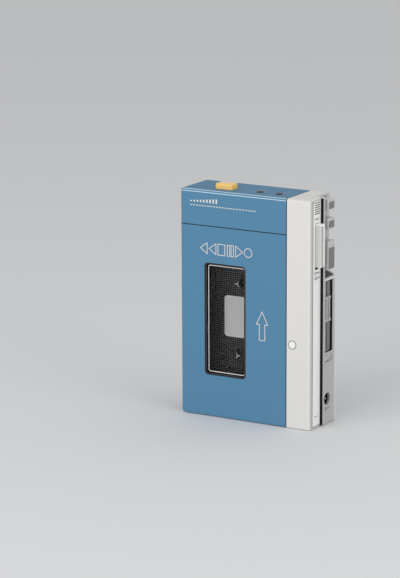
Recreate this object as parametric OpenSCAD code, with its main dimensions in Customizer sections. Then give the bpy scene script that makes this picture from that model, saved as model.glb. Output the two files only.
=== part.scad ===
// Portable cassette player, standing upright on its base.
// Layout frame: X to the right from the left side, Y back from the front face, Z up
// from the base. placed() moves that frame so the origin is the centre of the base.

/* [Case] */
// Width of the front face
case_w = 84.9; // [84.5:0.1:88]
// Depth from front face to back
case_d = 29.5; // [29.2:0.1:31]
// Height of the case
case_h = 133.5; // [132.5:0.5:138]
// Thickness of the moulded walls
wall = 1.5; // [1.2:0.1:1.6]
// Radius of the front and top edges
edge_r = 1.3; // [0.8:0.1:1.4]
// Radius of the upright edges at the back
back_r = 3; // [2:0.25:3]
// Width of the silver strip at the right of the front
strip_w = 15.2; // [15:0.1:15.5]
// Height of the blue band above the door
band_h = 20.8; // [20:0.1:22]
// Gap between shells that meet at a seam
seam = 0.3; // [0.2:0.05:0.4]
// Running gap round keys, knobs and buttons
slide_gap = 0.25; // [0.2:0.05:0.35]

/* [Door and window] */
// Thickness of the door's front
door_skin = 1.2; // [1:0.1:1.4]
// Depth from the door's front to the hinge line
door_d = 9; // [8.5:0.1:9.2]
// Radius of the hinge barrel
hinge_r = 1.6; // [1.4:0.1:1.8]
// Radius of the hinge pin
pin_r = 0.6; // [0.5:0.05:0.7]
// Radial clearance of running pins and shafts
run_fit = 0.04; // [0.02:0.01:0.08]
// Radius of the door's lower left corner
door_corner_r = 2.6; // [1.5:0.1:3]
// Distance from the left side to the window
window_x = 15.8; // [14:0.1:17]
// Height of the window's lower edge
window_z = 24.8; // [22:0.1:28]
// Width of the window
window_w = 27.2; // [24:0.1:28]
// Length of the window
window_h = 66.4; // [60:0.1:68]
// Width of the black frame round the window
frame_w = 1; // [0.8:0.1:1.4]
// Radius of the window's corners
window_r = 2.3; // [1.5:0.1:2.8]
// Depth of the pane behind the front
pane_y = 1.9; // [1.7:0.05:2]
// Thickness of the pane
pane_t = 0.6; // [0.5:0.05:0.7]

/* [Cassette deck] */
// Distance between the two reels
reel_pitch = 42.5; // [42.3:0.1:42.7]
// Height of the middle of the cassette above the middle of the door
deck_z = 0.95; // [0.45:0.05:1.45]
// Distance of the reels from the left side
reel_x = 33; // [32.8:0.1:33.3]
// Depth of the compartment floor
floor_y = 12; // [11.8:0.1:12.1]
// Thickness of the compartment floor
floor_t = 0.6; // [0.5:0.05:0.7]
// Depth of the spindle tips
spindle_tip_y = 8.3; // [7.8:0.1:8.8]
// Radius of the spindle fins
fin_r = 3.1; // [2.6:0.1:3.5]
// Radius of the reel shafts
reel_shaft_r = 1.5; // [1.2:0.1:1.7]
// Radius of the reel discs
disc_r = 9.5; // [9:0.1:9.8]
// Distance of the capstan from the left side
capstan_x = 63.5; // [63.2:0.1:63.8]
// Height of the capstan above the cassette's middle
capstan_dz = 33.2; // [32.8:0.1:33.6]
// Radius of the capstan
capstan_r = 1; // [0.9:0.05:1.2]
// Radius of the flywheel
flywheel_r = 12.5; // [12:0.1:12.7]
// Radius of the pinch roller
roller_r = 4; // [3.6:0.1:4.2]
// Thickness of the steel chassis
chassis_t = 1; // [0.8:0.1:1.1]

/* [Drive] */
// Distance of the motor from the left side
motor_x = 59; // [58:0.1:60]
// Height of the motor's shaft
motor_z = 24; // [23:0.1:25]
// Radius of the motor
motor_r = 12; // [11:0.1:12.3]
// Radius of the motor's shaft
motor_shaft_r = 0.75; // [0.7:0.05:0.9]
// Radius of the motor pulley
pulley_r = 3.2; // [2.8:0.1:3.5]
// Radius of the belt groove in the flywheel
groove_r = 10.5; // [10:0.1:11]
// Thickness of the square belt
belt_t = 1; // [0.8:0.1:1.1]

/* [Top] */
// Distance of the talk button from the left side
button_x = 19.1; // [17:0.1:21]
// Depth of the talk button's front
button_y = 6.9; // [6.4:0.1:7.4]
// Width of the talk button
button_w = 11; // [9:0.1:12]
// Depth of the talk button
button_d = 7.4; // [6.5:0.1:7.8]
// Height of the talk button above the top
button_h = 3.2; // [2.8:0.1:3.6]
// Travel of the talk button
button_travel = 1.5; // [1:0.1:2]
// Distance of the first phone jack from the left side
jack_x = 46.9; // [46:0.1:48]
// Distance between the two phone jacks
jack_pitch = 12.3; // [11:0.1:13]
// Depth of the phone jacks
jack_y = 10.4; // [10:0.1:10.8]
// Bore radius of the phone jacks
jack_bore_r = 1.8; // [1.75:0.01:1.85]
// Outer radius of the phone jacks' rings
jack_ring_r = 3.1; // [2.8:0.1:3.3]

/* [Side] */
// Depth of the line round the side plate
plate_y = 3.7; // [3.4:0.1:4]
// Depth of the trim strip behind the side plate
column_y = 13.1; // [12.9:0.1:13.3]
// How far the control block stands out
column_out = 1.5; // [1.2:0.1:1.8]
// Depth of the lip in front of the keys
lip_d = 2; // [1.8:0.1:2.2]
// Depth of the key recess
recess_d = 5; // [4.6:0.1:5.1]
// Distance of the key recess's lower edge below the top
recess_z = 46.9; // [46.3:0.1:47.1]
// How far the three keys stand out of the case side
key_out = 2.7; // [2.2:0.1:3]
// Depth of the three keys' front faces
key_y = 16.4; // [16.2:0.1:16.8]
// Size of the three keys front to back
key_d = 8.3; // [7.7:0.1:8.5]
// Bevel on the keys
bevel = 0.8; // [0.4:0.1:1]
// Travel of the keys
key_travel = 3; // [2:0.1:3]
// Distance of the play key's lower end below the top
play_z = 42.9; // [42.1:0.1:43.5]
// Length of the play key
play_l = 17; // [16:0.1:17.6]
// Distance of the forward key's lower end below the top
forward_z = 19.1; // [18.5:0.1:19.9]
// Distance of the rewind key's lower end below the top
rewind_z = 8.1; // [7.8:0.1:8.4]
// Length of the two small keys
small_l = 6.3; // [5.8:0.1:6.5]
// Distance of the stop key's lower end below the top
stop_z = 39.1; // [38.3:0.1:39.9]
// Length of the stop key
stop_l = 25; // [23:0.1:25.6]
// Depth of the stop key's front face
stop_y = 6.4; // [6.2:0.1:6.6]
// Thickness of the stop key front to back
stop_d = 3.1; // [2.8:0.1:3.4]
// How far the stop key stands out of the case side
stop_out = 4.5; // [4:0.1:4.8]

/* [Volume and power] */
// Depth of the volume slot's front edge
slot_y = 15.6; // [15.5:0.05:15.8]
// Size of the volume slot front to back
slot_w = 8.9; // [8.6:0.1:9]
// Distance of the volume slot's lower end below the top
slot_z = 90.9; // [89.5:0.1:91.5]
// Length of the volume slot
slot_l = 42; // [40:0.5:42.5]
// Depth of the volume slot
slot_d = 1.9; // [1.7:0.05:2]
// Length of a volume knob
knob_l = 14.7; // [13:0.1:15.5]
// Distance of the left knob's lower end below the top
knob_a_z = 73; // [71.5:0.1:75.5]
// Distance of the right knob's lower end below the top
knob_b_z = 73; // [71.5:0.1:75.5]
// Height of the knobs' faces above the control block's face
knob_out = 0; // [-0.2:0.1:0.4]
// Depth of the power jack
power_y = 18.3; // [18.1:0.1:20]
// Height of the power jack
power_z = 15; // [14:0.1:17]
// Bore radius of the power jack
power_bore_r = 2.8; // [2.6:0.1:3]
// Radius of the hole in front of the power jack
power_hole_r = 3.65; // [3.5:0.05:3.8]
// Radius of the lamp lens
lamp_r = 2.2; // [2:0.1:2.5]
// Distance of the lamp from the strip's left edge
lamp_x = 3.8; // [3.4:0.1:4.5]
// Distance of the lamp below the middle of the cassette
lamp_z = 8.1; // [7.8:0.1:12]

/* [Batteries] */
// Diameter of the cells the bay takes
cell_d = 14.5; // [14.3:0.1:14.6]
// Length of one cell
cell_l = 50.5; // [50:0.1:50.6]
// Room round the cells
cell_gap = 0.15; // [0.1:0.05:0.2]
// Wall of the battery box
box_wall = 1; // [0.8:0.05:1]
// Thickness of the battery lid
lid_t = 1.1; // [1:0.05:1.1]

/* [Hidden] */
$fn = 48;

strip_x = case_w - strip_w;
door_top = case_h - band_h;
shell_y = door_d + hinge_r + seam;
column_x = case_w + column_out;
recess_x = column_x - recess_d;
column_in = recess_x - wall;
slot_floor_x = column_x - slot_d;
recess_low = case_h - recess_z;
play_low = case_h - play_z;
forward_low = case_h - forward_z;
rewind_low = case_h - rewind_z;
stop_low = case_h - stop_z;
slot_low = case_h - slot_z;
knob_a_low = case_h - knob_a_z;
knob_b_low = case_h - knob_b_z;
resistor_x = slot_floor_x - wall;
plate_t = 1.4;
plate_x = case_w - 0.2;
plate_in = plate_x - plate_t;
plate_z = 1.2;
plate_top = case_h - 1.4;
plate_end = column_y - 0.4;
groove = 0.2;
trough_x = reel_x + 20.6;
trough_y = floor_y + 1.6;
chassis_y = trough_y + floor_t;
chassis_back = chassis_y + chassis_t;
chassis_x0 = reel_x - 12;
chassis_x1 = column_in - 0.9;
deck_mid = door_top / 2 + deck_z;
lamp_mid = deck_mid - lamp_z;
takeup_z = deck_mid + reel_pitch / 2;
supply_z = deck_mid - reel_pitch / 2;
capstan_z = deck_mid + capstan_dz;
belt_y = chassis_back + 0.7;
belt_h = 2.4;
disc_y = belt_y + belt_h + 0.9;
disc_t = 2.2;
flywheel_y = belt_y + belt_h;
flywheel_t = 4.6;
bracket_y = flywheel_y + flywheel_t + 1.2;
board_y = case_d - wall - 2.2;
board_t = 1.4;
upper_board_z = door_top + 3;
upper_board_t = 1.2;
jack_top = case_h - wall;
box_x = wall + 0.4;
bay_x = box_x + box_wall;
bay_w = cell_d + 2 * cell_gap;
bay_z = 4.3;
bay_l = 2 * cell_l + 5;
bay_y = case_d - lid_t - bay_w;
idler_run = norm([capstan_x - reel_x, capstan_z - takeup_z]);
drive_gap = 0.1;
idler_r = (idler_run - flywheel_r - disc_r) / 2 - drive_gap;
idler_share = (flywheel_r + idler_r + drive_gap) / idler_run;
idler_x = capstan_x + (reel_x - capstan_x) * idler_share;
idler_z = capstan_z + (takeup_z - capstan_z) * idler_share;
roller_x = capstan_x + capstan_r + roller_r + key_travel + drive_gap;
post_r = 2.3;
screw_r = 1;
screw_head_r = 1.9;
posts = [
    [chassis_x0 + 3, 8], [reel_x + 12, 8],
    [chassis_x0 + 3, door_top - 8.5], [reel_x + 14, door_top - 4.5],
];
knuckle_l = 20;
knuckle_a = [4, 4 + knuckle_l];
knuckle_b = [door_top - 4.7 - knuckle_l, door_top - 4.7];
key_in = column_in - 0.3;
deck_low = 2;
deck_top = door_top - 3;
deck_plate_t = 0.45;
deck_plate_left = 10.5;
deck_plate_right = 7.5;
deck_plate_low = 11.3;
deck_plate_high = 13.1;
deck_plate_r = 2;
spring_l = 38;
spring_w = 3;
spring_t = 0.3;
spring_bow = 1;
spring_foot = 3;
grille_z = plate_top - 7.5;
grille_pitch = 1.25;
grille_slot = 0.5;
jack_floor_x = column_in + 0.3;
power_pin_r = 0.6;
power_pin_back = 1.1;
power_sleeve_t = 0.8;
power_room = 6;
press_fit = 0.02;
recess_step = 1.4;
knob_w = 0.32 * slot_w;
knob_edge = 0.3;
knob_gap = 0.65;
knob_cap = 1.6;
knob_waist = 0.7;
knob_rib = 1.2;
lever_w = 1;
lever_l = 3;
resistor_w = 3.2;
resistor_t = 5;
latch_rod_x = strip_x + 2.7;
latch_rod_z = door_top - 2.4;
latch_rod_r = 1.1;
coil_wire_r = 0.34;
coil_pitch = 0.62;
contact_w = 10;
contact_t = 0.4;
coil_step = 0.75;
lid_gap = 0.15;
rib_pitch = 1.6;
rib_slot = 0.8;
screw_slot_w = 0.5;
screw_slot_l = 2.6;
screw_slot_d = 0.5;
button_low = case_h - 2 * wall - 1;
button_flange = 1;
plunger_r = 1.4;
jack_base = upper_board_z + upper_board_t;
jack_body = 6.4;
blade_t = 0.3;
mic_y = 8.6;
mic_z = plate_top - 4.3;
mic_r = 2.6;
mic_t = 3.6;
lamp_flange = 0.6;
diode_r = 1.2;
bush_r = 3;
bush_neck_r = 2.1;
bearing_r = 2.6;
bearing_neck_r = 1.9;
idler_pin_r = 1;
roller_pin_r = 0.9;
guide_pin_r = 1.2;
guide_tip_r = 0.7;
tyre_t = 1.3;
fin_t = 0.9;
fin_root = 1;
disc_hub_r = 3.4;
disc_hole_ring = 6.3;
disc_hole_r = 1.5;
motor_boss_r = 3;
belt_play = 0.12;
head_block_t = 2.6;
head_h = 12.4;
bracket_t = 0.9;
bracket_w = 3.6;
bracket_leg_r = 1.4;
board_low = motor_z + motor_r + 4;
board_high = door_top + 16;
bracket_legs = [[-14, 13.6], [12, -15]];
capacitor_r = 3.1;
tall_capacitors = [[-8, -5.3], [0, 0.7], [8, -5.3]];
small_capacitor_r = 2.6;
small_capacitors = [[25, -1.3], [33, 4.7]];
chips = [[-6, 38.7], [1, 42.7]];
chip_w = 5;
chip_l = 9;

// ---- shared shapes ----

module placed() { translate([-case_w / 2, -case_d / 2, 0]) children(); }

// rectangle with its own radius at each corner: lower left, lower right, upper right, upper left
module rect2(x0, y0, x1, y1, r = [0, 0, 0, 0]) {
    corners = [[x0, y0, 1, 1, r[0]], [x1, y0, -1, 1, r[1]], [x1, y1, -1, -1, r[2]], [x0, y1, 1, -1, r[3]]];
    difference() {
        translate([x0, y0]) square([x1 - x0, y1 - y0]);
        for (c = corners) if (c[4] > 0) difference() {
            translate([c[0] - (c[2] < 0 ? c[4] : 1), c[1] - (c[3] < 0 ? c[4] : 1)]) square(c[4] + 1);
            translate([c[0] + c[2] * c[4], c[1] + c[3] * c[4]]) circle(c[4]);
        }
    }
}

// prisms whose outline is drawn in XY, XZ and YZ
module up_z(z0, z1) { translate([0, 0, z0]) linear_extrude(z1 - z0) children(); }
module along_y(y0, y1) { translate([0, y1, 0]) rotate([90, 0, 0]) linear_extrude(y1 - y0) children(); }
module along_x(x0, x1) { translate([x0, 0, 0]) rotate([90, 0, 90]) linear_extrude(x1 - x0) children(); }

// round rods along each axis, and a plain block, all given by their limits
module rod_x(y, z, r, x0, x1) { translate([x0, y, z]) rotate([0, 90, 0]) cylinder(h = x1 - x0, r = r); }
module rod_y(x, z, r, y0, y1) { translate([x, y1, z]) rotate([90, 0, 0]) cylinder(h = y1 - y0, r = r); }
module rod_z(x, y, r, z0, z1) { translate([x, y, z0]) cylinder(h = z1 - z0, r = r); }
module block(x, y, z) { translate([x[0], y[0], z[0]]) cube([x[1] - x[0], y[1] - y[0], z[1] - z[0]]); }

// flat bar of width w between two points
module bar2(p, q, w) {
    translate(p) rotate(atan2(q[1] - p[1], q[0] - p[0])) translate([0, -w / 2]) square([norm(q - p), w]);
}

// the case's outer form, drawn in by d on every side
module case_form(d) {
    f = max(edge_r - d, 0.3);
    b = max(back_r - d, 0.6);
    intersection() {
        up_z(d, case_h - d) rect2(d, d, case_w - d, case_d - d, [f, f, f, b]);
        along_x(-1, case_w + 1) rect2(d, d, case_d - d, case_h - d, [0.4, 0.4, f, f]);
        along_y(-1, case_d + 1) rect2(d, d, case_w - d, case_h - d, [0.4, 0.4, f, f]);
    }
}

module case_wall() {
    difference() {
        case_form(0);
        case_form(wall);
    }
}

module jack_pair() {
    for (i = [0, 1]) translate([i * jack_pitch, 0, 0]) children();
}

module spindle_pair() {
    for (z = [supply_z, takeup_z]) translate([reel_x, 0, z]) children();
}

// ---- casing ----

module rear_case() color("steelblue") placed() difference() {
    union() {
        intersection() {
            case_wall();
            block([-1, strip_x - seam / 2], [shell_y, case_d + 1], [-1, door_top - seam / 2]);
        }
        rod_z(hinge_r, door_d, hinge_r, knuckle_a[1] + seam, knuckle_b[0] - seam);
        block([0, 2 * hinge_r - 0.4], [door_d, shell_y + 0.5], [knuckle_a[1] + seam, knuckle_b[0] - seam]);
        for (p = posts) rod_y(p[0], p[1], post_r, chassis_back, case_d - wall + 0.2);
    }
    rod_z(hinge_r, door_d, pin_r + press_fit, 0, door_top);
    for (p = posts) {
        rod_y(p[0], p[1], screw_r + 0.1, chassis_back - 1, case_d + 1);
        rod_y(p[0], p[1], screw_head_r + 0.2, case_d - 1.2, case_d + 1);
    }
    bay_mouth();
}

module bay_mouth() {
    block([bay_x, bay_x + bay_w], [case_d - wall - 1, case_d + 1], [bay_z, bay_z + bay_l]);
}

module top_cover() color("steelblue") placed() difference() {
    intersection() {
        case_wall();
        block([-1, strip_x - seam / 2], [-1, case_d + 1], [door_top + seam / 2, case_h + 1]);
    }
    up_z(case_h - 2 * wall, case_h + 1) rect2(
        button_x - slide_gap, button_y - slide_gap,
        button_x + button_w + slide_gap, button_y + button_d + slide_gap, [0.6, 0.6, 0.6, 0.6]);
    jack_pair() rod_z(jack_x, jack_y, jack_ring_r + 0.05, case_h - 2 * wall, case_h + 1);
    bay_mouth();
}

module silver_shell() color("gainsboro") placed() difference() {
    union() {
        intersection() {
            case_wall();
            block([strip_x + seam / 2, case_w + 1], [-1, case_d + 1], [-1, case_h + 1]);
        }
        latch_guide();
    }
    block([plate_in - 1, case_w + 1], [plate_y - groove, case_d], [plate_z - groove, plate_top + groove]);
    block([column_in, case_w + 1], [column_y - 0.4, case_d + 1], [-1, case_h + 1]);
    rod_y(strip_x + lamp_x, lamp_mid, lamp_r + 0.1, -1, wall + 1);
}

module side_plate() color("whitesmoke") placed() difference() {
    along_x(plate_in, plate_x) rect2(plate_y, plate_z, plate_end, plate_top, [0.6, 0, 0, 1.8]);
    along_x(plate_in - 1, plate_x + 1) rect2(
        stop_y - slide_gap, stop_low - 1.7, stop_y + stop_d + slide_gap, stop_low + stop_l + slide_gap,
        [0.4, 0.4, 0.4, 0.4]);
    for (i = [0 : 5]) translate([0, 0, grille_z + grille_pitch * i])
        block([plate_in - 1, plate_x + 1], [plate_y + 1.7, plate_end - 1], [0, grille_slot]);
}

module trim_strip() color("black") placed()
    block([plate_in, column_x - 0.15], [column_y - 0.35, column_y - 0.02], [0.5, case_h - 0.6]);

module control_block() color("darkgray") placed() difference() {
    intersection() {
        block([column_in, column_x], [column_y, case_d], [0, case_h]);
        up_z(-1, case_h + 1) rect2(column_in, column_y, column_x, case_d, [0, 0.3, 1.8, 0]);
        along_x(0, column_x + 1) rect2(0, 0, case_d, case_h, [0.4, 0.4, edge_r, edge_r]);
        along_y(-1, case_d + 1) rect2(column_in, 0, column_x, case_h, [0, 0.4, 1, 0]);
    }
    along_y(column_y + lip_d, case_d + 1) polygon([
        [recess_x, recess_low + recess_step], [column_x + 0.1, recess_low - 0.8],
        [column_x + 1, recess_low], [column_x + 1, case_h + 1], [recess_x, case_h + 1]]);
    recess_back_edge();
    block([column_in - 1, resistor_x], [column_y + wall, case_d - wall], [wall, recess_low - 2 * wall]);
    block([column_in - 1, column_x - wall], [column_y + wall, case_d - wall],
        [power_z - power_room, power_z + power_room]);
    block([slot_floor_x, column_x + 1], [slot_y, slot_y + slot_w], [slot_low, slot_low + slot_l]);
    for (y = knob_ys())
        block([resistor_x - 1, column_x], [y - lever_w / 2 - 0.3, y + lever_w / 2 + 0.3],
            [slot_low + 1, slot_low + slot_l - 1]);
    rod_x(power_y, power_z, power_hole_r, column_x - wall - 1, column_x + 1);
    for (k = [[rewind_low, small_l], [forward_low, small_l], [play_low, play_l]])
        block([column_in - 1, recess_x + 1], [key_y - slide_gap, key_y + key_d + slide_gap],
            [k[0] - slide_gap, k[0] + k[1] + slide_gap]);
}

// rounds the recess wall's outer edge at the back
module recess_back_edge() {
    up_z(recess_low + recess_step, case_h + 1) difference() {
        translate([recess_x - 1, case_d - 1]) square(2.5);
        translate([recess_x - 1, case_d - 1]) circle(1);
    }
}

// depths of the two volume knobs' middles
function knob_ys() = [for (i = [0, 1]) slot_y + knob_edge + knob_w / 2 + i * (knob_w + knob_gap)];

// ---- door ----

module door() color("steelblue") placed() difference() {
    union() {
        along_y(0, door_skin)
            rect2(0, seam, strip_x - seam / 2, door_top - seam / 2, [door_corner_r, 0, 0, 0]);
        block([0, wall - 0.1], [0, door_d - hinge_r - seam], [seam, door_top - seam / 2]);
        up_z(seam, seam + wall) {
            rect2(0, 0, strip_x - seam / 2, door_d, [0, 0, 0, 0]);
            rect2(hinge_r, 1, strip_x - seam / 2, door_d + hinge_r, [0, 0, 0, 0]);
            translate([hinge_r, door_d]) circle(hinge_r);
        }
        for (k = [knuckle_a, knuckle_b]) {
            rod_z(hinge_r, door_d, hinge_r, k[0], k[1]);
            block([0, wall - 0.1], [1, door_d], k);
        }
    }
    front_edge_cut();
    along_y(-1, door_skin + 1) rect2(window_x - 0.05, window_z - 0.05, window_x + window_w + 0.05,
        window_z + window_h + 0.05, [window_r, window_r, window_r, window_r]);
    rod_z(hinge_r, door_d, pin_r + run_fit, -1, door_top);
}

// rounds the door's upright left edge and its lower left corner through the whole depth
module front_edge_cut() {
    up_z(-1, case_h) difference() {
        translate([-1, -1]) square(1 + edge_r);
        translate([edge_r, edge_r]) circle(edge_r);
    }
    along_y(-1, door_d + hinge_r + 1) difference() {
        translate([-1, seam - 1]) square(1 + door_corner_r);
        translate([door_corner_r, seam + door_corner_r]) circle(door_corner_r);
    }
}

module window_frame() color("black") placed() difference() {
    r = [window_r, window_r, window_r, window_r];
    s = [window_r - frame_w, window_r - frame_w, window_r - frame_w, window_r - frame_w];
    along_y(0.1, pane_y) rect2(window_x, window_z, window_x + window_w, window_z + window_h, r);
    along_y(-1, pane_y + 1) rect2(window_x + frame_w, window_z + frame_w,
        window_x + window_w - frame_w, window_z + window_h - frame_w, s);
}

module door_window() color("lightgray", 0.3) placed()
    along_y(pane_y, pane_y + pane_t) rect2(window_x - 0.6, window_z - 0.6, window_x + window_w + 0.6,
        window_z + window_h + 0.6, [window_r, window_r, window_r, window_r]);

module cassette_springs() color("silver") placed()
    for (x = [window_x / 2 + 0.8, window_x + window_w + 6])
        along_x(x, x + spring_w) translate([door_skin, deck_mid]) {
            t = spring_t;
            b = spring_bow;
            arm = spring_l / 2 - spring_foot;
            polygon([
                [0, -arm], [0, -spring_l / 2], [t, -spring_l / 2], [t, -arm], [b + t, -2], [b + t, 2],
                [t, arm], [t, spring_l / 2], [0, spring_l / 2], [0, arm], [b, 2], [b, -2]]);
        }

module door_catch() color("dimgray") placed() {
    block([strip_x - 3.6, strip_x - 0.6], [door_skin, 6], [door_top - 3.9, door_top - 1.2]);
    block([strip_x - 8, strip_x - 0.6], [door_skin, door_skin + 0.8], [door_top - 4.6, door_top - 0.8]);
}

module hinge_pin() color("silver") placed()
    rod_z(hinge_r, door_d, pin_r, knuckle_a[0] - 0.5, knuckle_b[1] + 4);

module door_spring() color("silver") placed()
    translate([hinge_r, door_d, knuckle_b[1] + 0.5]) rotate_extrude() for (i = [0 : 3])
        translate([pin_r + 0.4, 0.35 + coil_pitch * i]) circle(coil_wire_r);

module latch_guide() {
    rod_y(latch_rod_x, latch_rod_z, latch_rod_r, wall - 0.2, 8.6);
}

module door_latch() color("dimgray") placed() difference() {
    union() {
        block([strip_x + 0.5, strip_x + 5.2], [3, 7.6], [door_top - 4.6, door_top - 0.2]);
        block([strip_x + 5, strip_x + 8.4], [6.4, 7.6], [door_top - 3.6, door_top - 1.2]);
    }
    rod_y(latch_rod_x, latch_rod_z, latch_rod_r + run_fit, 0, 12);
}

// ---- batteries ----

module battery_box() color("dimgray") placed() difference() {
    up_z(bay_z - box_wall, bay_z + bay_l + box_wall) rect2(box_x, floor_y + floor_t,
        bay_x + bay_w + box_wall, case_d - wall - 0.05, [0.3, 0.3, 0.3, 2]);
    block([bay_x, bay_x + bay_w], [bay_y, case_d], [bay_z, bay_z + bay_l]);
}

module battery_contacts() color("silver") placed() {
    x = bay_x + bay_w / 2;
    y = bay_y + bay_w / 2;
    r = contact_w / 2;
    block([x - r, x + r], [y - r, y + r], [bay_z, bay_z + contact_t]);
    translate([x, y, bay_z + contact_t]) rotate_extrude() for (i = [0 : 3])
        translate([3.4 - 0.6 * i, 0.35 + coil_step * i]) square([0.8, coil_step + (i < 3 ? 0.05 : 0)]);
    block([x - r, x + r], [y - r, y + r], [bay_z + bay_l - contact_t, bay_z + bay_l]);
}

module battery_lid() color("steelblue") placed() difference() {
    block([bay_x + lid_gap, bay_x + bay_w - lid_gap], [case_d - lid_t, case_d],
        [bay_z + lid_gap, bay_z + bay_l - lid_gap]);
    for (i = [0 : 4]) translate([0, 0, bay_z + 6 + rib_pitch * i])
        block([bay_x + 3, bay_x + bay_w - 3], [case_d - 0.4, case_d + 1], [0, rib_slot]);
}

module case_screws() color("silver") placed() for (p = posts) difference() {
    union() {
        rod_y(p[0], p[1], screw_r, chassis_y + 0.1, case_d - 0.6);
        rod_y(p[0], p[1], screw_head_r, case_d - 1.2, case_d - 0.2);
    }
    for (s = [[screw_slot_l, screw_slot_w] / 2, [screw_slot_w, screw_slot_l] / 2])
        translate([p[0], 0, p[1]])
            block([-s[0], s[0]], [case_d - 0.2 - screw_slot_d, case_d], [-s[1], s[1]]);
}

// ---- top ----

module talk_button() color("sandybrown") placed() {
    z0 = button_low;
    z1 = case_h + button_h;
    intersection() {
        up_z(z0, z1)
            rect2(button_x, button_y, button_x + button_w, button_y + button_d, [0.5, 0.5, 0.5, 0.5]);
        along_y(0, case_d) polygon([
            [button_x, z0], [button_x + button_w, z0], [button_x + button_w, z1 - bevel],
            [button_x + button_w - bevel, z1], [button_x + bevel, z1], [button_x, z1 - bevel]]);
        along_x(0, case_w) polygon([
            [button_y, z0], [button_y + button_d, z0], [button_y + button_d, z1 - bevel],
            [button_y + button_d - bevel, z1], [button_y + bevel, z1], [button_y, z1 - bevel]]);
    }
    block([button_x - 1, button_x + button_w + 1], [button_y - 1, button_y + button_d + 1],
        [z0, z0 + button_flange]);
}

module talk_switch() color("dimgray") placed() {
    top = button_low - button_travel - 0.2;
    block([button_x + 1.5, button_x + button_w - 1.5], [button_y + 0.5, button_y + button_d - 0.5],
        [jack_base, top - 1]);
    rod_z(button_x + button_w / 2, button_y + button_d / 2, plunger_r, top - 1, top);
}

module phone_jack(x) difference() {
    union() {
        rod_z(x, jack_y, jack_ring_r + 0.4, jack_base, jack_top);
        block([x - jack_body / 2, x + jack_body / 2], [jack_y - jack_body / 2, jack_y + jack_body / 2],
            [jack_base, jack_base + 4]);
    }
    rod_z(x, jack_y, jack_bore_r, jack_base + 1, case_h);
}

module phone_jack_left() color("dimgray") placed() phone_jack(jack_x);
module phone_jack_right() color("dimgray") placed() phone_jack(jack_x + jack_pitch);

module jack_rings() color("gray") placed() jack_pair() translate([jack_x, jack_y, 0]) difference() {
    rod_z(0, 0, jack_ring_r, jack_top, case_h + 0.1);
    rod_z(0, 0, jack_bore_r + 0.3, jack_top - 1, case_h + 1);
    translate([0, 0, case_h - 0.4]) cylinder(h = 1, r1 = jack_bore_r + 0.2, r2 = jack_bore_r + 1.4);
}

// ---- keys ----

// key with bevelled outer edges, from its inner end to its face
module key(x0, x1, y0, y1, z0, z1) intersection() {
    up_z(z0, z1) polygon([
        [x0, y0], [x1 - bevel, y0], [x1, y0 + bevel], [x1, y1 - bevel], [x1 - bevel, y1], [x0, y1]]);
    along_y(y0, y1) polygon([
        [x0, z0], [x1 - bevel, z0], [x1, z0 + bevel], [x1, z1 - bevel], [x1 - bevel, z1], [x0, z1]]);
}

module column_key(z, l) key(key_in, case_w + key_out, key_y, key_y + key_d, z, z + l);

module play_key() color("gray") placed() column_key(play_low, play_l);
module forward_key() color("gray") placed() column_key(forward_low, small_l);
module rewind_key() color("gray") placed() column_key(rewind_low, small_l);

module stop_key() color("lightgray") placed() {
    key(plate_in - 1.6, case_w + stop_out, stop_y, stop_y + stop_d, stop_low, stop_low + stop_l);
    block([plate_in - 1.6, plate_in - 0.2], [stop_y - 1, stop_y + stop_d + 1],
        [stop_low + 2, stop_low + stop_l + 1]);
}

module key_springs() color("silver") placed() {
    block([key_in - 0.1, column_in], [column_y + 0.2, key_y - slide_gap - 0.1],
        [play_low, rewind_low + small_l]);
    for (k = [[rewind_low, small_l], [forward_low, small_l], [play_low, play_l]])
        block([key_in - blade_t - 0.05, key_in - 0.05], [column_y + 0.2, key_y + key_d / 2],
            [k[0] + 1, k[0] + k[1] - 1]);
}

module stop_spring() color("silver") placed() {
    block([plate_in - 2, plate_in], [stop_y, stop_y + stop_d], [stop_low - 5.5, stop_low - 2.5]);
    block([plate_in - 2, plate_in - 1.65], [stop_y, stop_y + stop_d], [stop_low - 3, stop_low + 10]);
}

// ---- volume and power ----

// slider knob shaped like an I from the side, with its lever into the resistor
module volume_knob(y, z) {
    w = knob_w / 2;
    x1 = column_x + knob_out;
    x0 = slot_floor_x + 0.2;
    block([x0, x1 - knob_waist], [y - w, y + w], [z, z + knob_l]);
    for (q = [z, z + knob_l - knob_cap]) block([x0, x1], [y - w, y + w], [q, q + knob_cap]);
    block([x0, x1], [y - knob_rib / 2, y + knob_rib / 2], [z, z + knob_l]);
    translate([0, y, z + knob_l / 2])
        block([resistor_x - 2.4, x0 + 0.1], [-lever_w / 2, lever_w / 2], [-lever_l / 2, lever_l / 2]);
}

module volume_knob_left() color("lightgray") placed() volume_knob(knob_ys()[0], knob_a_low);
module volume_knob_right() color("lightgray") placed() volume_knob(knob_ys()[1], knob_b_low);

module slide_resistors() color("gray") placed() for (y = knob_ys()) difference() {
    block([resistor_x - resistor_t, resistor_x], [y - resistor_w / 2, y + resistor_w / 2],
        [slot_low - 1, slot_low + slot_l - 1.2]);
    block([resistor_x - 3.2, resistor_x + 1], [y - lever_w / 2 - 0.4, y + lever_w / 2 + 0.4],
        [slot_low + 0.6, slot_low + slot_l - 2]);
}

module power_jack() color("dimgray") placed() difference() {
    rod_x(power_y, power_z, power_bore_r + power_sleeve_t, column_in - 0.7, column_x - wall);
    rod_x(power_y, power_z, power_bore_r, jack_floor_x, column_x);
}

module power_pin() color("silver") placed()
    rod_x(power_y, power_z, power_pin_r, jack_floor_x, column_x - power_pin_back);

module microphone() color("dimgray") placed()
    rod_x(mic_y, mic_z, mic_r, plate_in - mic_t, plate_in);

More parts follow.
